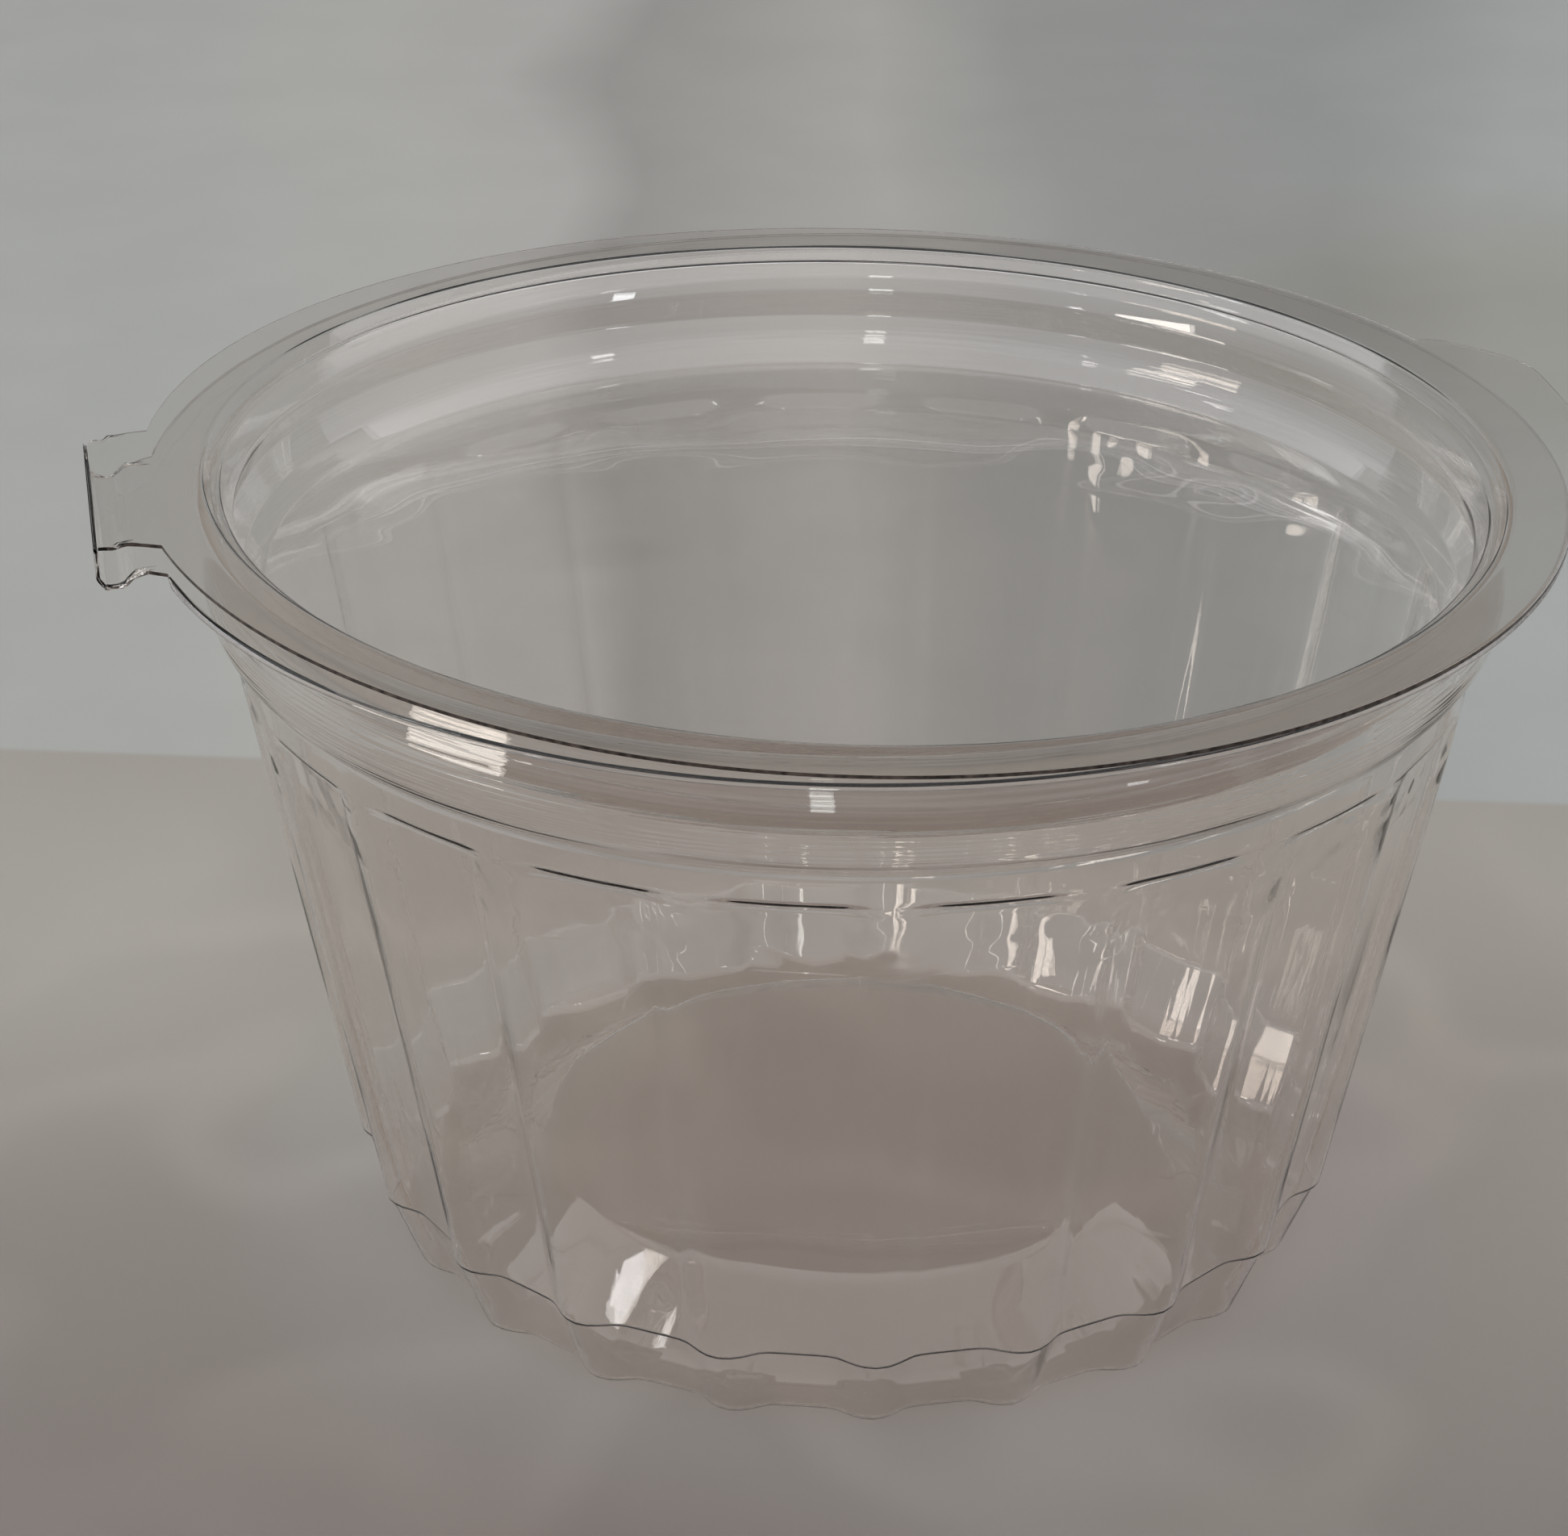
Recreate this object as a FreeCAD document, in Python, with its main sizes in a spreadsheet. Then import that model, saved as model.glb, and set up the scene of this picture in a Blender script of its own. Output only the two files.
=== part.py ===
import FreeCAD, Part
import math
import os

import Sketcher
from FreeCAD import Placement, Rotation, Vector

# Round hinged deli pack, thermoformed from one clear sheet: a fluted bowl and a snap-in lid
# that share a living hinge. Millimetres, +Z up, origin at the middle of the foot on the table.
# The hinge is on the -X side and the lift tab on the +X side.

DRIVING_SIZES = {
    # Sheet and rim. Each inset is measured in from the flange's edge, each drop down from its top.
    "gauge": 0.4,
    "flange_radius": 81.0,
    "flange_width": 6.5,
    "bowl_height": 93.0,
    # Neck of the bowl: a waist, a bead that holds the lid's plug, and a plain band.
    "waist_inset": 8.4,
    "waist_drop": 3.4,
    "bead_inset": 6.8,
    "bead_top_drop": 7.0,
    "bead_low_drop": 10.0,
    "band_inset": 9.8,
    "band_top_drop": 15.4,
    "ledge_drop": 18.7,
    "ledge_fall": 1.3,
    # Fluted wall: panels, and ribs that stand proud of them. The phase is the angle in degrees
    # from the lift tab to the first rib.
    "rib_count": 21.0,
    "rib_phase": 5.3,
    "wall_top_inset": 11.2,
    "rib_top_half": 4.5,
    "heel_height": 10.0,
    "heel_radius": 56.6,
    "heel_rib_proud": 2.2,
    "rib_heel_half": 3.7,
    "foot_inset": 4.0,
    "foot_rib_proud": 2.2,
    "rib_foot_half": 3.4,
    "rib_inset": 0.24,
    # Floor: a flat ring inside the foot's panels, a slope, and the raised middle.
    "foot_ring_width": 6.6,
    "slope_run": 10.0,
    "push_up": 7.0,
    "seam_lap": 0.6,
    # Lid: rim step, plug that drops into the neck, and sunken panel.
    "lid_gap": 0.1,
    "lid_rise": 3.0,
    "step_drop": 1.4,
    "step_lean": 1.0,
    "step_inset": 8.6,
    "plug_waist_inset": 10.0,
    "plug_waist_drop": 4.6,
    "snap_inset": 9.4,
    "snap_drop": 7.5,
    "plug_foot_inset": 11.4,
    "panel_inset": 13.0,
    "panel_drop": 13.4,
    "panel_bend": 1.5,
    # Hinge tongue, shared by the bowl and the lid.
    "hinge_proud": 5.5,
    "hinge_width": 31.2,
    "hinge_land": 2.9,
    "hinge_land_drop": 0.5,
    "hinge_gap": 0.15,
    "web_lead": 0.8,
    "web_dip": 2.0,
    "web_dip_width": 2.1,
    "web_dip_side": 0.9,
    "web_dip_rise": 1.0,
    "crease_lean": 0.1,
    "tongue_root_inset": 3.0,
    # Lift tab on the lid.
    "tab_proud": 6.1,
    "tab_width": 58.0,
    "tab_chamfer": 9.0,
    "tab_corner": 12.0,
    "tab_root_inset": 6.4,
}

# Places that follow from the driving sizes.
RIB_TURN = "1deg * sizes.rib_phase"
FLANGE_ROOT = "(sizes.flange_radius - sizes.flange_width)"
BAND_RADIUS = "(sizes.flange_radius - sizes.band_inset)"
WALL_TOP_RADIUS = "(sizes.flange_radius - sizes.wall_top_inset)"
LEDGE_HEIGHT = "sizes.bowl_height - sizes.ledge_drop"
HEEL_CREST = "(sizes.heel_radius + sizes.heel_rib_proud)"
FOOT_RADIUS = "(sizes.heel_radius - sizes.foot_inset)"
FOOT_CREST = "(sizes.heel_radius - sizes.foot_inset + sizes.foot_rib_proud)"
SLOPE_RADIUS = "(sizes.heel_radius - sizes.foot_inset - sizes.foot_ring_width)"
HINGE_REACH = "(sizes.flange_radius + sizes.hinge_proud)"
TONGUE_ROOT = "(sizes.flange_radius - sizes.tongue_root_inset)"
TAB_REACH = "(sizes.flange_radius + sizes.tab_proud)"
TAB_ROOT = "(sizes.flange_radius - sizes.tab_root_inset)"


def make_sheet(doc):
    """Write each driving size into its own row, with its name as the alias."""
    sheet = doc.addObject("Spreadsheet::Sheet", "sizes")
    for row, (name, size) in enumerate(DRIVING_SIZES.items(), start=1):
        sheet.set(f"A{row}", name)
        sheet.set(f"B{row}", str(size))
        sheet.setAlias(f"B{row}", name)
    doc.recompute()
    return sheet


def origin_plane(body, role):
    """Return the body's own origin plane or axis with this role."""
    return next(item for item in body.Origin.OriginFeatures if item.Role == role)


def new_sketch(body, name, role, height=None, turn=None):
    """Attach a sketch to an origin plane, lifted and turned by expressions where they are given."""
    sketch = body.newObject("Sketcher::SketchObject", name)
    sketch.AttachmentSupport = [(origin_plane(body, role), "")]
    sketch.MapMode = "FlatFace"
    if turn:
        sketch.AttachmentOffset = Placement(Vector(), Rotation(Vector(0, 0, 1), 1))
        sketch.setExpression("AttachmentOffset.Rotation.Angle", turn)
    if height:
        sketch.setExpression("AttachmentOffset.Base.z", height)
    return sketch


def pin(sketch, edge, end, across, up):
    """Hold one end of a sketch edge at two coordinates, each an expression or 0."""
    for kind, place, axis in (("DistanceX", across, -2), ("DistanceY", up, -1)):
        if place is None:
            continue
        if place == "0":
            sketch.addConstraint(Sketcher.Constraint("PointOnObject", edge, end, axis))
            continue
        value = float(sketch.evalExpression(place))
        index = sketch.addConstraint(Sketcher.Constraint(kind, -1, 1, edge, end, value))
        sketch.setExpression(f"Constraints[{index}]", place)


def join_ends(sketch, edges):
    """Close a ring of edges, each one's end on the next one's start."""
    for edge, following in zip(edges, edges[1:] + edges[:1]):
        sketch.addConstraint(Sketcher.Constraint("Coincident", edge, 2, following, 1))


def draw_polygon(sketch, corners):
    """Draw a closed outline of straight edges through corners given as pairs of expressions."""
    points = [Vector(*(float(sketch.evalExpression(part)) for part in corner), 0) for corner in corners]
    edges = [
        sketch.addGeometry(Part.LineSegment(start, end))
        for start, end in zip(points, points[1:] + points[:1])
    ]
    join_ends(sketch, edges)
    for edge, corner in zip(edges, corners):
        pin(sketch, edge, 1, *corner)


def chord_reach(radius, half_width):
    """Expression for how far out a chord of this half width sits on a circle of this radius."""
    return f"sqrt(({radius})^2 - ({half_width})^2)"


def crest_centre(radius, crest, half_width):
    """Expression for the centre of the arc through a rib's two roots and its crest."""
    root = chord_reach(radius, half_width)
    return f"({crest}) - (({crest}) - {root}) / 2 - ({half_width})^2 / (2 * (({crest}) - {root}))"


def rib_line(sketch, radius, crest, half_width):
    """Draw one pitch of the fluted wall: panel arc, rib crest, panel arc. Return the three edges."""
    half_pitch = "180deg / sizes.rib_count"
    root = chord_reach(radius, half_width)
    values = [float(sketch.evalExpression(item)) for item in (radius, crest, half_width, root)]
    r_panel, r_crest, half, r_root = values
    edge_angle = math.radians(180.0 / float(sketch.evalExpression("sizes.rib_count")))
    root_angle = math.atan2(half, r_root)

    def on_circle(angle):
        return Vector(r_panel * math.cos(angle), r_panel * math.sin(angle), 0)

    edges = []
    for start, end in ((-edge_angle, -root_angle), (root_angle, edge_angle)):
        middle = on_circle((start + end) / 2)
        edges.append(sketch.addGeometry(Part.Arc(on_circle(start), middle, on_circle(end))))
    lower, upper = edges
    crest_arc = Part.Arc(on_circle(-root_angle), Vector(r_crest, 0, 0), on_circle(root_angle))
    bump = sketch.addGeometry(crest_arc)
    for edge in (lower, upper):
        sketch.addConstraint(Sketcher.Constraint("Coincident", edge, 3, -1, 1))
    index = sketch.addConstraint(Sketcher.Constraint("Radius", lower, r_panel))
    sketch.setExpression(f"Constraints[{index}]", radius)
    sketch.addConstraint(Sketcher.Constraint("Equal", lower, upper))
    pin(sketch, lower, 1, None, f"-({radius}) * sin({half_pitch})")
    pin(sketch, lower, 2, None, f"-({half_width})")
    pin(sketch, upper, 1, None, half_width)
    pin(sketch, upper, 2, None, f"({radius}) * sin({half_pitch})")
    sketch.addConstraint(Sketcher.Constraint("Coincident", lower, 2, bump, 1))
    sketch.addConstraint(Sketcher.Constraint("Coincident", bump, 2, upper, 1))
    pin(sketch, bump, 3, crest_centre(radius, crest, half_width), None)
    return lower, bump, upper


def end_line(sketch, first, first_end, second, second_end):
    """Join the free ends of two edges with a straight line."""
    start = sketch.getPoint(first, first_end)
    end = sketch.getPoint(second, second_end)
    line = sketch.addGeometry(Part.LineSegment(start, end))
    sketch.addConstraint(Sketcher.Constraint("Coincident", line, 1, first, first_end))
    sketch.addConstraint(Sketcher.Constraint("Coincident", line, 2, second, second_end))


def wall_section(body, name, height, radius, crest, half_width):
    """Section of one pitch of the fluted wall: the sheet between its outer and inner faces."""
    sketch = new_sketch(body, name, "XY_Plane", height, RIB_TURN)
    outer = rib_line(sketch, radius, crest, half_width)
    inner = rib_line(
        sketch,
        f"{radius} - sizes.gauge",
        f"{crest} - sizes.gauge",
        f"{half_width} - sizes.rib_inset",
    )
    end_line(sketch, outer[0], 1, inner[0], 1)
    end_line(sketch, outer[2], 2, inner[2], 2)
    return sketch


def floor_section(body):
    """Outline of one pitch of the foot ring, from the floor's slope out to the fluted edge."""
    sketch = new_sketch(body, "foot_outline", "XY_Plane", None, RIB_TURN)
    outer = rib_line(sketch, FOOT_RADIUS, FOOT_CREST, "sizes.rib_foot_half")
    inner_radius = float(sketch.evalExpression(SLOPE_RADIUS))
    angle = math.radians(180.0 / float(sketch.evalExpression("sizes.rib_count")))
    corners = [
        Vector(inner_radius * math.cos(turn), inner_radius * math.sin(turn), 0)
        for turn in (-angle, 0, angle)
    ]
    inner = sketch.addGeometry(Part.Arc(*corners))
    sketch.addConstraint(Sketcher.Constraint("Coincident", inner, 3, -1, 1))
    index = sketch.addConstraint(Sketcher.Constraint("Radius", inner, inner_radius))
    sketch.setExpression(f"Constraints[{index}]", SLOPE_RADIUS)
    half_pitch = "180deg / sizes.rib_count"
    pin(sketch, inner, 1, None, f"-{SLOPE_RADIUS} * sin({half_pitch})")
    pin(sketch, inner, 2, None, f"{SLOPE_RADIUS} * sin({half_pitch})")
    end_line(sketch, outer[0], 1, inner, 1)
    end_line(sketch, outer[2], 2, inner, 2)
    return sketch


def revolve(body, name, corners):
    """Turn a straight-edged section in the XZ plane about the pack's axis."""
    sketch = new_sketch(body, f"{name}_section", "XZ_Plane")
    draw_polygon(sketch, corners)
    feature = body.newObject("PartDesign::Revolution", name)
    feature.Profile = sketch
    feature.ReferenceAxis = (sketch, ["V_Axis"])
    feature.Angle = 360.0
    return feature


def sheet_along(outer, inner):
    """Close a sheet's section from the corners of its two faces, both listed from the same end."""
    return outer + inner[::-1]


def make_bowl(doc):
    """Fluted bowl: floor, foot ring, ribbed wall, neck, flange and the sprung half of the hinge."""
    body = doc.addObject("PartDesign::Body", "bowl")
    body.Label = "bowl"
    revolve(body, "floor", [
        ("0", "sizes.push_up"),
        (f"{SLOPE_RADIUS} - sizes.slope_run", "sizes.push_up"),
        (SLOPE_RADIUS, "0"),
        (f"{SLOPE_RADIUS} + sizes.seam_lap", "0"),
        (f"{SLOPE_RADIUS} + sizes.seam_lap", "sizes.gauge"),
        (SLOPE_RADIUS, "sizes.gauge"),
        (f"{SLOPE_RADIUS} - sizes.slope_run", "sizes.push_up + sizes.gauge"),
        ("0", "sizes.push_up + sizes.gauge"),
    ])

    waist = "(sizes.flange_radius - sizes.waist_inset)"
    bead = "(sizes.flange_radius - sizes.bead_inset)"
    waist_height = "sizes.bowl_height - sizes.waist_drop"
    bead_top = "sizes.bowl_height - sizes.bead_top_drop"
    bead_low = "sizes.bowl_height - sizes.bead_low_drop"
    band_top = "sizes.bowl_height - sizes.band_top_drop"
    revolve(body, "neck", sheet_along(
        [
            (BAND_RADIUS, LEDGE_HEIGHT),
            (BAND_RADIUS, band_top),
            (bead, bead_low),
            (bead, bead_top),
            (waist, waist_height),
            (FLANGE_ROOT, "sizes.bowl_height - sizes.gauge"),
            ("sizes.flange_radius", "sizes.bowl_height - sizes.gauge"),
        ],
        [
            (f"{BAND_RADIUS} - sizes.gauge", LEDGE_HEIGHT),
            (f"{BAND_RADIUS} - sizes.gauge", band_top),
            (f"{bead} - sizes.gauge", bead_low),
            (f"{bead} - sizes.gauge", bead_top),
            (f"{waist} - sizes.gauge", waist_height),
            (f"{FLANGE_ROOT} - sizes.gauge", "sizes.bowl_height"),
            ("sizes.flange_radius", "sizes.bowl_height"),
        ],
    ))
    add_hinge_web(body)

    foot = body.newObject("PartDesign::Pad", "foot_ring")
    foot.Profile = floor_section(body)
    foot.setExpression("Length", "sizes.gauge")

    sections = [
        wall_section(body, "wall_foot", None, FOOT_RADIUS, FOOT_CREST, "sizes.rib_foot_half"),
        wall_section(body, "wall_heel", "sizes.heel_height", "sizes.heel_radius", HEEL_CREST,
                     "sizes.rib_heel_half"),
        wall_section(body, "wall_top", f"{LEDGE_HEIGHT} - sizes.ledge_fall",
                     WALL_TOP_RADIUS, BAND_RADIUS, "sizes.rib_top_half"),
        wall_section(body, "wall_ledge", LEDGE_HEIGHT, BAND_RADIUS, BAND_RADIUS,
                     "sizes.rib_top_half"),
    ]
    wall = body.newObject("PartDesign::AdditiveLoft", "fluted_wall")
    wall.Profile = sections[0]
    wall.Sections = sections[1:]
    wall.Ruled = True

    ring = body.newObject("PartDesign::PolarPattern", "flutes_around")
    ring.Originals = [foot, wall]
    ring.Axis = (origin_plane(body, "Z_Axis"), [""])
    ring.Angle = 360.0
    ring.setExpression("Occurrences", "sizes.rib_count")
    body.Tip = ring
    return body


def add_hinge_web(body):
    """Tongue of the bowl: it dips in a bead below the flange and rises to the crease."""
    flange_low = "sizes.bowl_height - sizes.gauge"
    dip_low = "sizes.bowl_height - sizes.web_dip"
    dip_out = f"({HINGE_REACH} - sizes.web_dip_side)"
    crease = "sizes.bowl_height + sizes.lid_gap + sizes.lid_rise - sizes.hinge_land_drop"
    sketch = new_sketch(body, "hinge_web_section", "XZ_Plane")
    draw_polygon(sketch, sheet_along(
        [
            (f"-{TONGUE_ROOT}", flange_low),
            ("-(sizes.flange_radius + sizes.web_lead)", flange_low),
            (f"-({dip_out} - sizes.web_dip_width)", dip_low),
            (f"-{dip_out}", dip_low),
            (f"-{HINGE_REACH}", f"{dip_low} + sizes.web_dip_rise"),
            (f"-({HINGE_REACH} + sizes.crease_lean)", crease),
        ],
        [
            (f"-{TONGUE_ROOT}", "sizes.bowl_height"),
            ("-(sizes.flange_radius + sizes.web_lead + sizes.gauge / 2)", "sizes.bowl_height"),
            (f"-({dip_out} - sizes.web_dip_width + sizes.gauge / 2)", f"{dip_low} + sizes.gauge"),
            (f"-({dip_out} - sizes.gauge / 2)", f"{dip_low} + sizes.gauge"),
            (f"-({HINGE_REACH} - sizes.gauge)", f"{dip_low} + sizes.web_dip_rise"),
            (f"-({HINGE_REACH} + sizes.crease_lean - sizes.gauge)", crease),
        ],
    ))
    web = body.newObject("PartDesign::Pad", "hinge_web")
    web.Profile = sketch
    web.SideType = "Symmetric"
    web.setExpression("Length", "sizes.hinge_width")


def make_lid(doc):
    """Lid in its flat, fully seated place; place_lid tilts it afterwards."""
    body = doc.addObject("PartDesign::Body", "lid")
    body.Label = "lid"
    under = "sizes.bowl_height + sizes.lid_gap"
    panel = "(sizes.flange_radius - sizes.panel_inset)"
    plug_foot = "(sizes.flange_radius - sizes.plug_foot_inset)"
    snap = "(sizes.flange_radius - sizes.snap_inset)"
    plug_waist = "(sizes.flange_radius - sizes.plug_waist_inset)"
    step = "(sizes.flange_radius - sizes.step_inset)"
    rim_root = f"{FLANGE_ROOT} - sizes.gauge"
    outer = [
        ("0", f"{under} - sizes.panel_drop"),
        (panel, f"{under} - sizes.panel_drop"),
        (plug_foot, f"{under} - sizes.panel_drop + sizes.panel_bend"),
        (snap, f"{under} - sizes.snap_drop"),
        (plug_waist, f"{under} - sizes.plug_waist_drop"),
        (step, f"{under} - sizes.step_drop"),
        (f"{rim_root} - sizes.step_lean", f"{under} - sizes.step_drop"),
        (rim_root, under),
        ("sizes.flange_radius", under),
    ]
    inner = [
        ("0", f"{under} - sizes.panel_drop + sizes.gauge"),
        (f"{panel} - sizes.gauge", f"{under} - sizes.panel_drop + sizes.gauge"),
        (f"{plug_foot} - sizes.gauge", f"{under} - sizes.panel_drop + sizes.panel_bend"),
        (f"{snap} - sizes.gauge", f"{under} - sizes.snap_drop"),
        (f"{plug_waist} - sizes.gauge", f"{under} - sizes.plug_waist_drop"),
        (f"{step} - sizes.gauge", f"{under} - sizes.step_drop + sizes.gauge"),
        (f"{rim_root} - sizes.step_lean - sizes.gauge / 2", f"{under} - sizes.step_drop + sizes.gauge"),
        (f"{rim_root} - sizes.gauge / 2", f"{under} + sizes.gauge"),
        ("sizes.flange_radius", f"{under} + sizes.gauge"),
    ]
    revolve(body, "shell", sheet_along(outer, inner))
    add_hinge_tongue(body, under)
    add_lift_tab(body, under)
    return body


def add_hinge_tongue(body, under):
    """Tongue of the lid: flat, then a low land that ends just short of the crease."""
    land = f"{under} - sizes.hinge_land_drop"
    land_start = f"({HINGE_REACH} - sizes.hinge_land)"
    land_end = f"({HINGE_REACH} - sizes.gauge - sizes.hinge_gap)"
    sketch = new_sketch(body, "hinge_tongue_section", "XZ_Plane")
    draw_polygon(sketch, sheet_along(
        [
            (f"-{TONGUE_ROOT}", under),
            (f"-{land_start}", under),
            (f"-({land_start} + sizes.gauge)", land),
            (f"-{land_end}", land),
        ],
        [
            (f"-{TONGUE_ROOT}", f"{under} + sizes.gauge"),
            (f"-({land_start} + sizes.gauge / 2)", f"{under} + sizes.gauge"),
            (f"-({land_start} + 1.5 * sizes.gauge)", f"{land} + sizes.gauge"),
            (f"-{land_end}", f"{land} + sizes.gauge"),
        ],
    ))
    tongue = body.newObject("PartDesign::Pad", "hinge_tongue")
    tongue.Profile = sketch
    tongue.SideType = "Symmetric"
    tongue.setExpression("Length", "sizes.hinge_width")


def add_lift_tab(body, under):
    """Lift tab: a wide lip with slanted corners, which are then rounded."""
    half = "sizes.tab_width / 2"
    slant_start = f"{TAB_REACH} - sizes.tab_chamfer"
    slant_half = f"{half} - sizes.tab_chamfer"
    sketch = new_sketch(body, "lift_tab_outline", "XY_Plane", under)
    draw_polygon(sketch, [
        (TAB_ROOT, f"-{half}"),
        (slant_start, f"-{half}"),
        (TAB_REACH, f"-({slant_half})"),
        (TAB_REACH, slant_half),
        (slant_start, half),
        (TAB_ROOT, half),
    ])
    tab = body.newObject("PartDesign::Pad", "lift_tab")
    tab.Profile = sketch
    tab.setExpression("Length", "sizes.gauge")
    body.Document.recompute()

    reach = float(sketch.evalExpression(TAB_REACH))
    corners = []
    for number, edge in enumerate(tab.Shape.Edges, start=1):
        upright = len(edge.Vertexes) == 2 and abs(edge.tangentAt(edge.FirstParameter).z) > 0.99
        if upright and abs(edge.CenterOfMass.x - reach) < 0.01:
            corners.append(f"Edge{number}")
    rounding = body.newObject("PartDesign::Fillet", "lift_tab_corners")
    rounding.Base = (tab, corners)
    rounding.setExpression("Radius", "sizes.tab_corner")


def place_lid(lid, sheet):
    """Rest the lid's far edge on the bowl's flange and hold its hinge side up by the rise."""
    reach = sheet.flange_radius
    angle = math.degrees(math.asin(sheet.lid_rise / (2 * reach)))
    pivot = Vector(reach, 0, sheet.bowl_height + sheet.lid_gap)
    lid.Placement = Placement(Vector(), Rotation(Vector(0, 1, 0), angle), pivot)


def check_and_write(doc, bodies):
    """Stop on any failed object, then write each sub-part to its own file."""
    failed = [item.Name for item in doc.Objects if {"Invalid", "Error"} & set(item.State)]
    if failed:
        raise RuntimeError(f"failed objects: {failed}")
    for body in bodies:
        shape = body.Shape
        if shape.isNull() or not shape.isValid() or len(shape.Solids) != 1:
            raise RuntimeError(f"{body.Label} is not one valid solid")
        print(body.Label, "volume", round(shape.Volume), "box", shape.BoundBox)
    os.makedirs("parts", exist_ok=True)
    for body in bodies:
        body.Shape.exportStep(f"parts/{body.Label}.step")


def main():
    doc = FreeCAD.newDocument("hinged_pack")
    sheet = make_sheet(doc)
    bowl = make_bowl(doc)
    lid = make_lid(doc)
    doc.recompute()
    place_lid(lid, sheet)
    doc.recompute()
    check_and_write(doc, [bowl, lid])


main()
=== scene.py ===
import math

import bmesh
import bpy
import numpy as np
from mathutils import Matrix, Vector


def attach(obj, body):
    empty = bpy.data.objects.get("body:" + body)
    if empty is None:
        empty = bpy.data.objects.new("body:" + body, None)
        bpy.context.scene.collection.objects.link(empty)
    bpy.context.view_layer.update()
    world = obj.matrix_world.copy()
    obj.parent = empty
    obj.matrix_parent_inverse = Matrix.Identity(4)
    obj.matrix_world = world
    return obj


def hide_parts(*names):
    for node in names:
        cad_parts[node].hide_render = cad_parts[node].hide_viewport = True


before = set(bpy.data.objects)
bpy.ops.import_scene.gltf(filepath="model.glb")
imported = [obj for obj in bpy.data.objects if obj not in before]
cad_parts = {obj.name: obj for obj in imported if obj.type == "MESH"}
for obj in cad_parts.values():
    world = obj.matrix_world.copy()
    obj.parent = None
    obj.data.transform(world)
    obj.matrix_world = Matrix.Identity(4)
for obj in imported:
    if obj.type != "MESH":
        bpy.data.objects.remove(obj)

# Round hinged deli pack of clear formed sheet. Lengths in the shape code are millimetres, in the
# CAD part's frame: +Z up, hinge on -X, lift tab on +X, table at z = 0.
MM = 0.001
GAUGE = 0.4

# Ribs of the bowl's wall: half-width and pitch are angles, and the softness rounds their roots.
RIBS = 21
RIB_PHASE = math.radians(5.3)
PITCH = 2 * math.pi / RIBS
RIB_HALF = math.asin(3.7 / 57.0)
RIB_SOFTNESS = 0.36

# Flanges, as radii and heights. The bowl's trimmed edge turns down by the lip.
BOWL_TOP = 93.0
FLANGE_ROOT = 74.5
BOWL_EDGE = 80.5
BOWL_LIP = 0.3
LID_EDGE = 81.0
LID_UNDER = BOWL_TOP + 0.1
LID_ROOT = 75.0

# The lid stands up by its rise at the hinge. With a larger bend it sags more, nearer to the hinge.
LID_RISE = 3.0
LID_BEND = 2.7

# Hinge tongue: half-widths at its end and at the flange, the reach of each half and the fold.
HINGE_HALF = 15.6
HINGE_ROOT_HALF = 16.8
BOWL_HINGE_REACH = 86.6
LID_HINGE_REACH = 86.0
HINGE_FOLD = 85.2

# Lift tab: its reach, half of its straight end and half of its root.
TAB_REACH = 87.1
TAB_END_HALF = 20
TAB_ROOT_HALF = 29

# Material slots of a shell, and the heights between which the sheet was drawn deepest.
CLEAR, CUT, DRAWN = 0, 1, 2
DRAWN_HEIGHTS = (63.0, 92.2)
NOWHERE = (0, 0)

# Folds sharper than this are shaded as edges.
SHARP_FOLD = math.radians(50)

# A ray that has met more layers than this goes straight on.
LAYERS_BENT = 4.5

# The photographer stood a little to one side of the hinge: the setting turns with the camera.
VIEW_TURN = Matrix.Rotation(math.radians(-11.45), 3, "Z")

# Lamps stand this far from a point in the pack's rim, in metres.
LAMP_DISTANCE = 1.5
RIM = Vector((0, 0, 0.08))


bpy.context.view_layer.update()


# Sections and outlines

def rounded(points, radii, steps):
    """Polyline through points with its inner corners rounded to the given radii."""
    points = [np.array(p, float) for p in points]
    out = [points[0]]
    for before, here, after, radius in zip(points, points[1:], points[2:], radii):
        if not radius:
            out.append(here)
            continue
        back, ahead = before - here, after - here
        back_length, ahead_length = np.linalg.norm(back), np.linalg.norm(ahead)
        back, ahead = back / back_length, ahead / ahead_length
        turn = math.acos(max(-1.0, min(1.0, float(back @ ahead))))
        reach = min(radius / math.tan(turn / 2), 0.48 * back_length, 0.48 * ahead_length)
        for t in np.linspace(0, 1, steps + 1):
            start = (1 - t) ** 2 * (here + back * reach)
            end = t * t * (here + ahead * reach)
            out.append(start + 2 * t * (1 - t) * here + end)
    out.append(points[-1])
    return np.array(out)


def spaced(path, longest):
    """The same polyline with its long edges split."""
    out = [path[0]]
    for a, b in zip(path, path[1:]):
        parts = max(1, math.ceil(np.linalg.norm(b - a) / longest))
        out += [a + (b - a) * (k + 1) / parts for k in range(parts)]
    return np.array(out)


def along(path, amounts):
    """Points at these arc lengths of a polyline."""
    steps = np.linalg.norm(np.diff(path, axis=0), axis=1)
    reach = np.concatenate([[0], np.cumsum(steps)])
    return np.stack([np.interp(amounts, reach, column) for column in path.T], axis=-1)


def polar_edge(outline, angles, least):
    """Radius at each angle from +X of an outline that is given by points."""
    outline = spaced(outline, 0.2)
    turn = np.arctan2(outline[:, 1], outline[:, 0])
    order = np.argsort(turn)
    reach = np.hypot(outline[:, 0], outline[:, 1])[order]
    return np.maximum(np.interp(angles, turn[order], reach, left=0, right=0), least)


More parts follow.
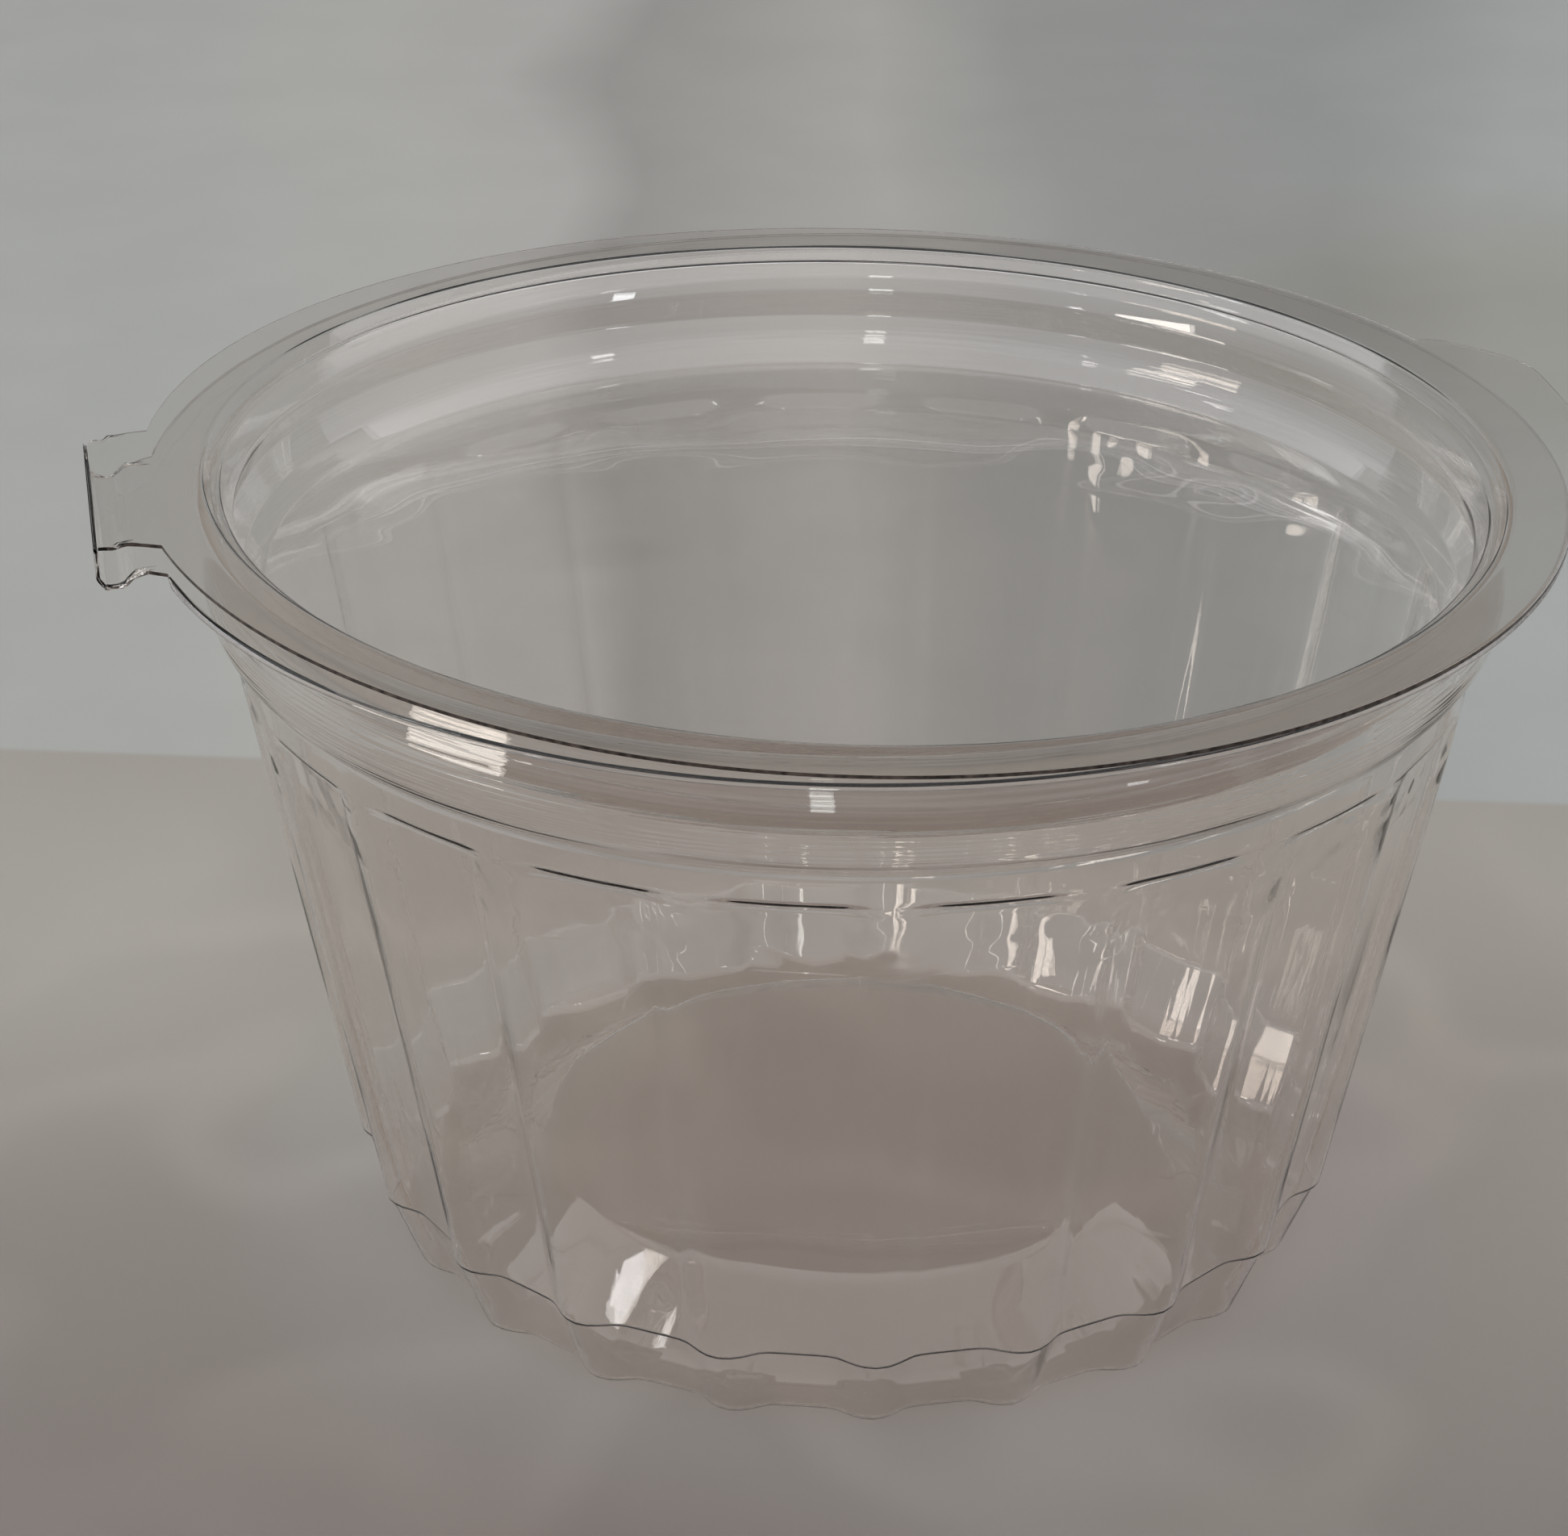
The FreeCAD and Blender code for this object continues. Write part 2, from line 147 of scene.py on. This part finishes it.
def tab_outline():
    """Lift tab from above: straight end, slanted and rounded corners, small fillets at its root."""
    slant = TAB_ROOT_HALF - TAB_END_HALF
    half = [(TAB_REACH, 0), (TAB_REACH, TAB_END_HALF), (TAB_REACH - slant, TAB_ROOT_HALF),
            (LID_ROOT - 1, TAB_ROOT_HALF)]
    side = rounded(half, [12, 5], 8)
    return np.concatenate([side[::-1] * [1, -1], side])


# Columns round the axis

def in_turn(groups):
    """Each angle of these groups once, from 0 to a full turn."""
    return np.unique(np.round(np.mod(np.concatenate(groups), 2 * math.pi), 7))


def ribbed_angles():
    """Columns that are close together at the flanks of each rib."""
    from_crest = np.radians([0.0, 1.3, 2.3, 2.9, 3.3, 3.65, 4.0, 4.4, 5.2, 6.6])
    pitch = np.concatenate([-from_crest[:0:-1], from_crest, [PITCH / 2]])
    return np.concatenate([pitch + RIB_PHASE + PITCH * k for k in range(RIBS)])


def from_tab(angles):
    """Signed angle from +X, between minus and plus half a turn."""
    return np.mod(angles + math.pi, 2 * math.pi) - math.pi


def from_hinge(angles):
    """Unsigned angle from -X."""
    return math.pi - np.abs(from_tab(angles))


def tongue_angles(reach):
    """Half-angles of a hinge tongue at its end corner and at its root on the flange's edge."""
    corner = math.atan2(HINGE_HALF, reach)
    root = math.atan2(HINGE_ROOT_HALF, math.sqrt(LID_EDGE ** 2 - HINGE_ROOT_HALF ** 2))
    return corner, root


def around_tongue(reach, at_corner, at_root):
    """Columns at both sides of a hinge tongue, as degrees from its corner and from its root."""
    corner, root = tongue_angles(reach)
    side = np.concatenate([corner + np.radians(at_corner), root + np.radians(at_root)])
    return np.concatenate([math.pi + side, math.pi - side])


# Shells

def shell(name, face, drawn_heights):
    """Closed thin sheet from its under face, an array of rows by columns by xyz, middle first.

    Faces between the two heights get the material of deep-drawn sheet. The outer edge is a cut
    edge painted dark as painted shade, except at the hinge, where the sheet is folded.
    """
    rows, cols = face.shape[:2]
    count = rows * cols
    along_rows = np.gradient(face, axis=0)
    round_cols = (np.roll(face, -1, axis=1) - np.roll(face, 1, axis=1)) / 2
    normal = np.cross(along_rows, round_cols)
    normal /= np.linalg.norm(normal, axis=2, keepdims=True) + 1e-12
    upper = face + normal * GAUGE
    verts = np.concatenate([face.reshape(-1, 3), upper.reshape(-1, 3)]) * MM

    grid = np.arange(count).reshape(rows, cols)
    beside = np.roll(grid, -1, axis=1)
    rim = np.stack([grid[-1], beside[-1], beside[-1] + count, grid[-1] + count], axis=-1)
    quads = np.stack([grid[:-1], beside[:-1], beside[1:], grid[1:]], axis=-1).reshape(-1, 4)
    middles = np.stack([grid[0, ::-1], grid[0] + count])
    groups = (rim, quads, quads[:, ::-1] + count, middles)
    faces = [face_corners for group in groups for face_corners in group.tolist()]
    low, high = drawn_heights
    height = face[:-1, :, 2].reshape(-1)
    side_slots = np.where((height > low) & (height < high), DRAWN, CLEAR).tolist()
    rim_slots = np.where(face[-1, :, 0] < -HINGE_FOLD, CLEAR, CUT).tolist()

    mesh = bpy.data.meshes.new(name)
    mesh.from_pydata(verts.tolist(), [], faces)
    slots = [*rim_slots, *side_slots, *side_slots, CLEAR, CLEAR]
    mesh.polygons.foreach_set("material_index", slots)
    finish_mesh(mesh)
    obj = bpy.data.objects.new(name, mesh)
    bpy.context.scene.collection.objects.link(obj)
    return obj


def finish_mesh(mesh):
    """Point the faces outward, shade them smooth and keep the sheet's cut edges sharp."""
    bm = bmesh.new()
    bm.from_mesh(mesh)
    bmesh.ops.recalc_face_normals(bm, faces=bm.faces)
    bm.to_mesh(mesh)
    bm.free()
    mesh.shade_smooth()
    mesh.set_sharp_from_angle(angle=SHARP_FOLD)
    mesh.validate()


def flange_rows(angles, start, edge_radius, profile, tongue, count):
    """Rows of a flange, out from its root circle and, at the hinge, along the tongue's profile.

    tongue holds the half-angle where it begins, then half-angles and the share of the tongue's
    length that stands out at each of them. The rows crowd a little towards the edge.
    """
    root, turns, lengths = tongue
    share = 1 - (1 - np.linspace(0, 1, count + 1)[1:]) ** 1.3
    rows = np.zeros((count, len(angles), 3))
    for column, (turn, off) in enumerate(zip(angles, from_hinge(angles))):
        radius = start + share * (edge_radius[column] - start)
        height = np.full(count, profile[0, 1])
        if off < root:
            scale = math.cos(off)
            begin = start * scale
            path = np.vstack([[begin, profile[0, 1]], profile[profile[:, 0] > begin]])
            reach = np.linalg.norm(np.diff(path, axis=0), axis=1).sum()
            plain = edge_radius[column] * scale - begin
            length = plain + (reach - plain) * np.interp(off, turns, lengths)
            points = along(path, share * length)
            radius = points[:, 0] / scale
            height = points[:, 1]
        across, aside = radius * math.cos(turn), radius * math.sin(turn)
        rows[:, column] = np.stack([across, aside, height], axis=-1)
    return rows


# Bowl

def rib_height(turn):
    """Share of a rib's height at an angle from its crest: a round back with small root fillets."""
    t = turn / RIB_HALF
    return np.logaddexp(0, (1 - t ** 2) / RIB_SOFTNESS) * RIB_SOFTNESS


def bowl_body(angles):
    """Floor, foot, ribbed wall and neck, from the middle out."""
    # Radius and height at a panel, height of the ribs, depth of the flutes in the foot ring and
    # radius of the corner.
    stations = [
        (5, 7.2, 0, 0, 0), (18, 7.15, 0, 0, 0), (33.5, 7.0, 0, 0, 0), (36.3, 6.6, 0, 0, 2.2),
        (45.6, 0.35, 0.8, 0.9, 2.0), (47.5, 0.0, 1.2, 0, 2.0), (52.4, 0.0, 2.1, 0, 1.6),
        (56.3, 9.9, 2.2, 0, 0.25), (56.75, 10.1, 2.2, 0, 0.25), (69.8, 73.0, 1.4, 0, 0.9),
        (71.2, 74.3, 0.05, 0, 0.9), (71.2, 77.6, 0, 0, 1.2), (73.4, 80.0, 0, 0, 5),
        (74.5, 82.9, 0, 0, 5), (73.9, 86.2, 0, 0, 8), (72.4, 90.0, 0, 0, 1.4),
        (74.5, 92.6, 0, 0, 0),
    ]
    path = rounded([s[:4] for s in stations], [s[4] for s in stations[1:-1]], 4)
    radius, height, rib, flute = spaced(path, 9).T[:, :, None]
    off = np.mod(angles - RIB_PHASE + PITCH / 2, PITCH) - PITCH / 2
    bump = rib_height(off)[None, :]
    from_panel = np.minimum(PITCH / 2 - np.abs(off), PITCH / 2 - RIB_HALF)[None, :]
    chord = np.cos(PITCH / 2 - RIB_HALF) / np.cos(from_panel)
    flatness = np.interp(height, [0, 10, 73, 73.5], [1, 1, 0.1, 0]) * (rib > 0.5)
    r = radius * (1 - flatness + flatness * chord) + rib * bump
    z = np.maximum(height - flute * bump, 0.0)
    return np.stack([r * np.cos(angles), r * np.sin(angles), z + 0 * r], axis=-1)


def bowl_shell():
    at_corner = [-0.6, -0.3, -0.12, 0, 0.02, 0.05, 0.1, 0.18, 0.28, 0.45, 0.7, 1.0, 1.3]
    at_root = [-0.2, -0.05, 0.1, 0.3, 0.7]
    across_tongue = math.pi + np.radians(np.arange(-9, 9.1, 1.5))
    beside_tongue = around_tongue(BOWL_HINGE_REACH, at_corner, at_root)
    angles = in_turn([ribbed_angles(), beside_tongue, across_tongue])
    body = bowl_body(angles)

    # The tongue dips into a bead, and past it the sprung strip of the hinge stands up.
    under = BOWL_TOP - GAUGE
    inside = (60, under)
    profile = rounded(
        [inside, (81.8, under), (83.4, 91.0), (85.5, 91.0), (86.35, 92.2), (86.5, 95.45)],
        [0.8, 0.6, 0.6, 0.9], 4)
    corner, root = tongue_angles(BOWL_HINGE_REACH)
    turns = [corner, corner + 0.0006, corner + 0.003, corner + 0.012, root]
    tongue = (root, turns, [1, 0.62, 0.45, 0.15, 0])
    edge = np.full(len(angles), BOWL_EDGE)
    flange = flange_rows(angles, FLANGE_ROOT, edge, profile, tongue, 22)

    # The trimmed edge turns down a little, except at the tongue.
    past_tongue = from_hinge(angles) - root
    plain = np.clip((past_tongue - math.radians(0.5)) / math.radians(1.5), 0, 1)
    lip = flange[-1].copy()
    lip[:, 2] -= BOWL_LIP * plain
    inset = 0.05
    flange[-1, :, :2] *= 1 - inset / BOWL_EDGE
    return shell("bowl_sheet", np.concatenate([body, flange, lip[None]]), DRAWN_HEIGHTS)


# Lid

def lid_shell():
    at_corner = [-0.6, -0.3, -0.12, 0, 0.05, 0.12, 0.22, 0.35, 0.55, 0.8, 1.1]
    at_root = [-0.15, 0, 0.15, 0.4]
    tab = np.radians([18.5, 19.2, 19.8, 20.3, 20.6, 20.8, 20.95, 21.1, 21.3, 21.7, 22.2])
    even = np.linspace(0, 2 * math.pi, 420, endpoint=False)
    beside_tongue = around_tongue(LID_HINGE_REACH, at_corner, at_root)
    angles = in_turn([even, beside_tongue, tab, -tab])

    # Radius, and depth under the flange: the panel, the plug with its snap, and the rim's step.
    stations = [
        (5, 13.0), (30, 13.1), (55, 13.3), (67.6, 13.4), (69.8, 11.6), (71.8, 8.0), (70.8, 4.6),
        (72.3, 1.4), (73.1, 1.4), (74.1, 0), (LID_ROOT, 0),
    ]
    section = [(radius, LID_UNDER - depth) for radius, depth in stations]
    path = spaced(rounded(section, [0, 0, 1.6, 1.0, 0.9, 1.0, 0.5, 0.4, 0.4], 4), 4.0)
    radius, height = path.T[:, :, None]
    across, aside = radius * np.cos(angles), radius * np.sin(angles)
    body = np.stack([across, aside, height + 0 * angles], axis=-1)

    inside = (60, LID_UNDER)
    crease = LID_UNDER - 0.5
    profile = rounded(
        [inside, (83.6, LID_UNDER), (84.1, crease), (LID_HINGE_REACH, crease)], [0.4, 0.4], 3)
    corner, root = tongue_angles(LID_HINGE_REACH)
    tongue = (root, [corner, corner + 0.001, corner + 0.012, root], [1, 0.9, 0.4, 0])
    edge = polar_edge(tab_outline(), from_tab(angles), LID_EDGE)
    flange = flange_rows(angles, LID_ROOT, edge, profile, tongue, 14)
    return shell("lid_sheet", lifted(np.concatenate([body, flange])), NOWHERE)


def lifted(face):
    """Tilt the lid about its far edge and let it sag between, as a thin sheet does."""
    tilt = math.asin(LID_RISE / (2 * LID_EDGE))
    pivot = np.array([LID_EDGE, 0, LID_UNDER])
    turn = np.array(Matrix.Rotation(tilt, 3, "Y"))
    face = (face - pivot) @ turn.T + pivot
    share = (1 - face[:, :, 0] / LID_EDGE) / 2
    face[:, :, 2] -= LID_RISE * np.clip(share - np.abs(share) ** LID_BEND, 0, None)
    return face


# Shader helpers. Places and distances in the shaders are metres.

def new_material(name):
    mat = bpy.data.materials.new(name)
    mat.use_nodes = True
    nodes = mat.node_tree.nodes
    nodes.clear()
    out = nodes.new("ShaderNodeOutputMaterial")
    shader = nodes.new("ShaderNodeBsdfPrincipled")
    mat.node_tree.links.new(shader.outputs[0], out.inputs[0])
    return mat, mat.node_tree, shader


def feed(tree, socket, value):
    """Link a socket to another node's output, or set it to a plain number or colour."""
    if isinstance(value, bpy.types.NodeSocket):
        tree.links.new(value, socket)
    else:
        socket.default_value = value


def calculate(tree, kind, *values):
    node = tree.nodes.new("ShaderNodeMath")
    node.operation = kind
    for socket, value in zip(node.inputs, values):
        feed(tree, socket, value)
    return node.outputs[0]


def remap(tree, value, before, after=(0, 1), kind="SMOOTHSTEP"):
    """A value moved from one range to another, held at the ends."""
    node = tree.nodes.new("ShaderNodeMapRange")
    node.interpolation_type = kind
    for socket, item in zip(node.inputs, [value, *before, *after]):
        feed(tree, socket, item)
    return node.outputs[0]


def noise(tree, vector, scale, detail=0.0):
    node = tree.nodes.new("ShaderNodeTexNoise")
    node.inputs["Scale"].default_value = scale
    node.inputs["Detail"].default_value = detail
    tree.links.new(vector, node.inputs["Vector"])
    return node.outputs["Fac"]


def gradient(tree, value, stops):
    """Colour along a value: stops are pairs of a place and a linear colour."""
    node = tree.nodes.new("ShaderNodeValToRGB")
    elements = node.color_ramp.elements
    while len(elements) < len(stops):
        elements.new(0.5)
    for element, (place, colour) in zip(elements, stops):
        element.position = place
        element.color = (*colour, 1)
    tree.links.new(value, node.inputs[0])
    return node.outputs[0]


def tint(tree, base, factor, colour):
    """Multiply a colour by another where the factor is 1."""
    node = tree.nodes.new("ShaderNodeMix")
    node.data_type = "RGBA"
    node.blend_type = "MULTIPLY"
    feed(tree, node.inputs[0], factor)
    feed(tree, node.inputs[6], base)
    feed(tree, node.inputs[7], (*colour, 1))
    return node.outputs[2]


def spot(tree, place, centre, inner, outer):
    """1 within the inner distance of a point, fading to 0 at the outer."""
    node = tree.nodes.new("ShaderNodeVectorMath")
    node.operation = "DISTANCE"
    tree.links.new(place, node.inputs[0])
    node.inputs[1].default_value = (*centre, 0)
    return remap(tree, node.outputs["Value"], (inner, outer), (1, 0))


def place_of(tree):
    """Object coordinates, whole and as x, y and z."""
    place = tree.nodes.new("ShaderNodeTexCoord").outputs["Object"]
    split = tree.nodes.new("ShaderNodeSeparateXYZ")
    tree.links.new(place, split.inputs[0])
    return place, *split.outputs


# Materials of the pack

def clear_sheet(name, relief=None):
    """Clear sheet with a faint warm tint. relief adds its own to the waves that forming leaves."""
    mat, tree, shader = new_material(name)
    shader.inputs["Base Color"].default_value = (0.968, 0.946, 0.932, 1)
    shader.inputs["IOR"].default_value = 1.5
    shader.inputs["Transmission Weight"].default_value = 1.0
    place, x, y, z = place_of(tree)
    wave = noise(tree, place, 55)
    height = relief(tree, wave, place, x, y, z) if relief else wave
    bump = tree.nodes.new("ShaderNodeBump")
    bump.inputs["Distance"].default_value = 0.0004
    feed(tree, bump.inputs["Height"], height)
    feed(tree, shader.inputs["Normal"], bump.outputs[0])
    feed(tree, shader.inputs["Roughness"], remap(tree, wave, (0.70, 0.85), (0.0, 0.06)))
    let_light_through(tree, shader)
    return mat


def drawn_relief(tree, wave, place, x, y, z):
    """Fine rings where the plug rubs on the neck, and wrinkles where the ribs run out above."""
    stretched = tree.nodes.new("ShaderNodeCombineXYZ")
    turn = calculate(tree, "ARCTAN2", y, x)
    feed(tree, stretched.inputs[0], calculate(tree, "MULTIPLY", turn, 5.0))
    feed(tree, stretched.inputs[1], calculate(tree, "MULTIPLY", z, 2300.0))
    ring_depth = remap(tree, z, (0.0765, 0.0795), (0.0, 0.11))
    rings = calculate(tree, "MULTIPLY", noise(tree, stretched.outputs[0], 1.0), ring_depth)
    wrinkle_top = remap(tree, z, (0.072, 0.074), (1, 0))
    wrinkle_foot = remap(tree, z, (0.063, 0.069), (0.0, 0.35))
    wrinkle_depth = calculate(tree, "MULTIPLY", wrinkle_foot, wrinkle_top)
    wrinkles = calculate(tree, "MULTIPLY", noise(tree, place, 330), wrinkle_depth)
    return calculate(tree, "ADD", calculate(tree, "ADD", wave, rings), wrinkles)


def let_light_through(tree, shader):
    """Light to and from the table isn't bent by so thin a sheet, nor is a ray past many layers."""
    path = tree.nodes.new("ShaderNodeLightPath")
    shadow, diffuse = path.outputs["Is Shadow Ray"], path.outputs["Is Diffuse Ray"]
    deep = calculate(tree, "GREATER_THAN", path.outputs["Ray Depth"], LAYERS_BENT)
    through = calculate(tree, "MAXIMUM", calculate(tree, "MAXIMUM", shadow, diffuse), deep)
    clear = tree.nodes.new("ShaderNodeBsdfTransparent")
    clear.inputs[0].default_value = (0.965, 0.955, 0.945, 1)
    mix = tree.nodes.new("ShaderNodeMixShader")
    out = next(node for node in tree.nodes if node.type == "OUTPUT_MATERIAL")
    feed(tree, mix.inputs[0], through)
    feed(tree, mix.inputs[1], shader.outputs[0])
    feed(tree, mix.inputs[2], clear.outputs[0])
    feed(tree, out.inputs[0], mix.outputs[0])


def shaded_cut_edge():
    """Trimmed edge of the sheet, painted near-black as painted shade: a clear cut edge looks dark
    because little light leaves it.
    """
    mat, tree, shader = new_material("shaded_cut_edge")
    shader.inputs["Roughness"].default_value = 0.35
    shader.inputs["IOR"].default_value = 1.5
    shader.inputs["Transmission Weight"].default_value = 0.35
    place = place_of(tree)[0]
    # Near-black to dark brown: painted shade of the cut edge, not the sheet's own colour.
    colour = gradient(tree, noise(tree, place, 900, 2.0),
                      [(0.35, (0.014, 0.010, 0.008)), (0.7, (0.12, 0.09, 0.075))])
    feed(tree, shader.inputs["Base Color"], colour)
    return mat


# Setting

def stage_mesh(name, verts, faces, mat):
    mesh = bpy.data.meshes.new(name)
    mesh.from_pydata(verts, [], faces)
    mesh.materials.append(mat)
    obj = bpy.data.objects.new(name, mesh)
    bpy.context.scene.collection.objects.link(obj)
    return obj


def paper_colour(tree, place, y):
    """Pale paper with faint mottling, and painted light and shade: darker towards the front,
    painted caustic lines and a bluish light round the foot, and painted shadow in front of and
    under the pack.
    """
    mottle = noise(tree, place, 9, 1.0)
    paper = gradient(tree, mottle, [(0.35, (0.295, 0.270, 0.242)), (0.68, (0.343, 0.326, 0.292))])
    # Painted light: bright caustic lines on the paper near the pack.
    off_middle = calculate(tree, "SUBTRACT", noise(tree, place, 17, 1.0), 0.5)
    streaks = calculate(tree, "ABSOLUTE", off_middle)
    near = spot(tree, place, (0, 0), 0.075, 0.16)
    painted_caustics = calculate(tree, "MULTIPLY", remap(tree, streaks, (0.0, 0.09), (1, 0)), near)
    paper = tint(tree, paper, painted_caustics, (1.09, 1.09, 1.09))
    # Painted light: a bluish bright ring on the paper just outside the foot.
    outside = calculate(tree, "SUBTRACT", 1.0, spot(tree, place, (0, 0), 0.050, 0.058))
    painted_glow = calculate(tree, "MULTIPLY", spot(tree, place, (0, 0), 0.060, 0.085), outside)
    paper = tint(tree, paper, painted_glow, (1.04, 1.07, 1.11))
    # Painted shade: the paper darker towards the front.
    paper = tint(tree, paper, remap(tree, y, (0.07, -0.10)), (0.63, 0.60, 0.61))
    # Painted shadow: a dark warm patch on the paper just in front of the foot.
    paper = tint(tree, paper, spot(tree, place, (-0.03, -0.105), 0.01, 0.09), (0.90, 0.86, 0.86))
    # Painted shade: a darker, pinker patch on the paper under the pack.
    return tint(tree, paper, spot(tree, place, (0.02, 0.0), 0.035, 0.075), (0.93, 0.89, 0.90))


def cloth_colour(tree, place, x, y):
    """Pale cloth with painted shade of wide soft fold bands that fan out, and a painted warm shadow
    behind the pack.
    """
    fan = calculate(tree, "ARCTAN2", x, calculate(tree, "ADD", y, 0.47))
    drift = calculate(tree, "MULTIPLY_ADD", noise(tree, place, 6, 1.0), 0.10, fan)
    # Painted light and shade: lighter and darker bands where the cloth would fold.
    fold_shading = [
        (0.00, (0.365, 0.368, 0.348)), (0.16, (0.395, 0.388, 0.364)),
        (0.26, (0.385, 0.376, 0.356)), (0.32, (0.295, 0.287, 0.270)),
        (0.50, (0.375, 0.364, 0.340)), (0.62, (0.290, 0.289, 0.275)),
        (0.80, (0.280, 0.285, 0.274)), (0.91, (0.345, 0.355, 0.343)),
        (1.00, (0.358, 0.370, 0.356)),
    ]
    cloth = gradient(tree, remap(tree, drift, (-0.12, 0.22), kind="LINEAR"), fold_shading)
    weave = remap(tree, noise(tree, place, 40, 2.0), (0.3, 0.7))
    cloth = tint(tree, cloth, weave, (0.97, 0.97, 0.97))
    # Painted shadow: a dim warm patch on the cloth behind the pack.
    return tint(tree, cloth, spot(tree, place, (0.13, 0.30), 0.02, 0.10), (0.88, 0.84, 0.78))


def floor_material():
    """Paper on the table and, beyond a slightly slanted line, the foot of a pale cloth."""
    mat, tree, shader = new_material("paper_and_cloth")
    shader.inputs["Roughness"].default_value = 0.7
    shader.inputs["Specular IOR Level"].default_value = 0.2
    place, x, y, _ = place_of(tree)
    slanted = calculate(tree, "MULTIPLY_ADD", x, 0.045, y)
    mix = tree.nodes.new("ShaderNodeMix")
    mix.data_type = "RGBA"
    feed(tree, mix.inputs[0], remap(tree, slanted, (0.1075, 0.1095)))
    feed(tree, mix.inputs[6], paper_colour(tree, place, y))
    feed(tree, mix.inputs[7], cloth_colour(tree, place, x, y))
    feed(tree, shader.inputs["Base Color"], mix.outputs[2])
    return mat


def build_stage():
    """One sheet: the table, and far behind it the same sheet curving up."""
    near, far, top, half_width, bend = -1.6, 1.5, 1.6, 2.4, 0.6
    section = rounded([(near, 0), (far, 0), (far, top)], [bend], 16)
    verts = [(x, y, z) for y, z in section for x in (-half_width, half_width)]
    faces = [(2 * k, 2 * k + 1, 2 * k + 3, 2 * k + 2) for k in range(len(section) - 1)]
    floor = stage_mesh("table", verts, faces, floor_material())
    floor.matrix_world = VIEW_TURN.to_4x4()
    floor.data.shade_smooth()


def lamp(name, azimuth, elevation, size, radiance, colour):
    """Soft box seen from the rim in this direction: at 90 degrees it faces the camera."""
    a, e = math.radians(azimuth), math.radians(elevation)
    direction = Vector((math.cos(a) * math.cos(e), math.sin(a) * math.cos(e), math.sin(e)))
    place = RIM + LAMP_DISTANCE * (VIEW_TURN @ direction)
    data = bpy.data.lights.new(name, "AREA")
    data.shape = "RECTANGLE"
    data.size, data.size_y = size
    data.energy = radiance * math.pi * size[0] * size[1]
    data.color = colour
    obj = bpy.data.objects.new(name, data)
    obj.location = place
    obj.rotation_mode = "QUATERNION"
    obj.rotation_quaternion = (RIM - place).to_track_quat("-Z", "Y")
    bpy.context.scene.collection.objects.link(obj)


def build_lights():
    lamp("window", -157, 5, (0.48, 0.37), 6.5, (1.0, 0.94, 0.86))
    lamp("window_top", -151, 21, (0.32, 0.20), 9.0, (1.0, 0.95, 0.88))
    lamp("window_side", -137, 23, (0.07, 0.16), 9.0, (0.97, 0.98, 1.0))
    lamp("door", -94, 18.5, (0.10, 0.45), 5.5, (0.95, 1.0, 0.97))
    lamp("lamp_right", -40, 24, (0.12, 0.20), 8.0, (0.95, 0.98, 1.0))
    lamp("lamp_left", 170, 53, (0.16, 0.22), 8.0, (0.95, 0.98, 1.0))


def build_world():
    """Pale room: dim near the floor and brighter overhead."""
    world = bpy.data.worlds.new("room")
    world.use_nodes = True
    tree = world.node_tree
    split = tree.nodes.new("ShaderNodeSeparateXYZ")
    feed(tree, split.inputs[0], tree.nodes.new("ShaderNodeTexCoord").outputs["Generated"])
    heights = [
        (0.0, (0.24, 0.235, 0.23)), (0.15, (0.42, 0.43, 0.45)), (0.5, (0.95, 0.97, 1.0)),
        (0.9, (0.8, 0.8, 0.82)),
    ]
    colour = gradient(tree, split.outputs[2], heights)
    background = tree.nodes["Background"]
    feed(tree, background.inputs["Color"], colour)
    background.inputs["Strength"].default_value = 1.32
    bpy.context.scene.world = world


def build_camera():
    """Camera solved from the photograph: focal length in pixels, places in mm from the rim."""
    image_width, focal, distance, height, aside = 1944, 5500.0, 469.4, 193.0, 1.81
    pitch, yaw, roll = (math.radians(v) for v in (26.195, -1.175, 0.371))
    forward, down = math.cos(pitch), math.sin(pitch)
    ahead = Vector((math.sin(yaw) * forward, math.cos(yaw) * forward, -down))
    level = Vector((math.cos(yaw), -math.sin(yaw), 0))
    upright = level.cross(ahead)
    right = math.cos(roll) * level + math.sin(roll) * upright
    up = math.cos(roll) * upright - math.sin(roll) * level
    axes = Matrix([VIEW_TURN @ v for v in (right, up, -ahead)]).transposed()
    eye = (VIEW_TURN @ Vector((aside, -distance, 0)) + Vector((0, 0, BOWL_TOP + height))) * MM
    data = bpy.data.cameras.new("camera")
    data.sensor_fit = "HORIZONTAL"
    data.lens = focal * data.sensor_width / image_width
    data.clip_start = 0.01
    cam = bpy.data.objects.new("camera", data)
    cam.matrix_world = Matrix.Translation(eye) @ axes.to_4x4()
    bpy.context.scene.collection.objects.link(cam)
    bpy.context.scene.camera = cam


def main():
    slots = (clear_sheet("clear_sheet"), shaded_cut_edge(), clear_sheet("drawn_sheet", drawn_relief))
    for piece, body in ((bowl_shell(), "bowl"), (lid_shell(), "lid")):
        for material in slots:
            piece.data.materials.append(material)
        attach(piece, body)
        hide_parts(body)
    build_stage()
    build_lights()
    build_world()
    build_camera()
    scene = bpy.context.scene
    scene.view_settings.view_transform = "Standard"

    # Just enough bounces for the layers that stand behind each other, so the render stays short.
    scene.cycles.max_bounces = 10
    scene.cycles.transmission_bounces = 10
    scene.cycles.transparent_max_bounces = 32
    scene.cycles.glossy_bounces = 3
    scene.cycles.diffuse_bounces = 1


main()
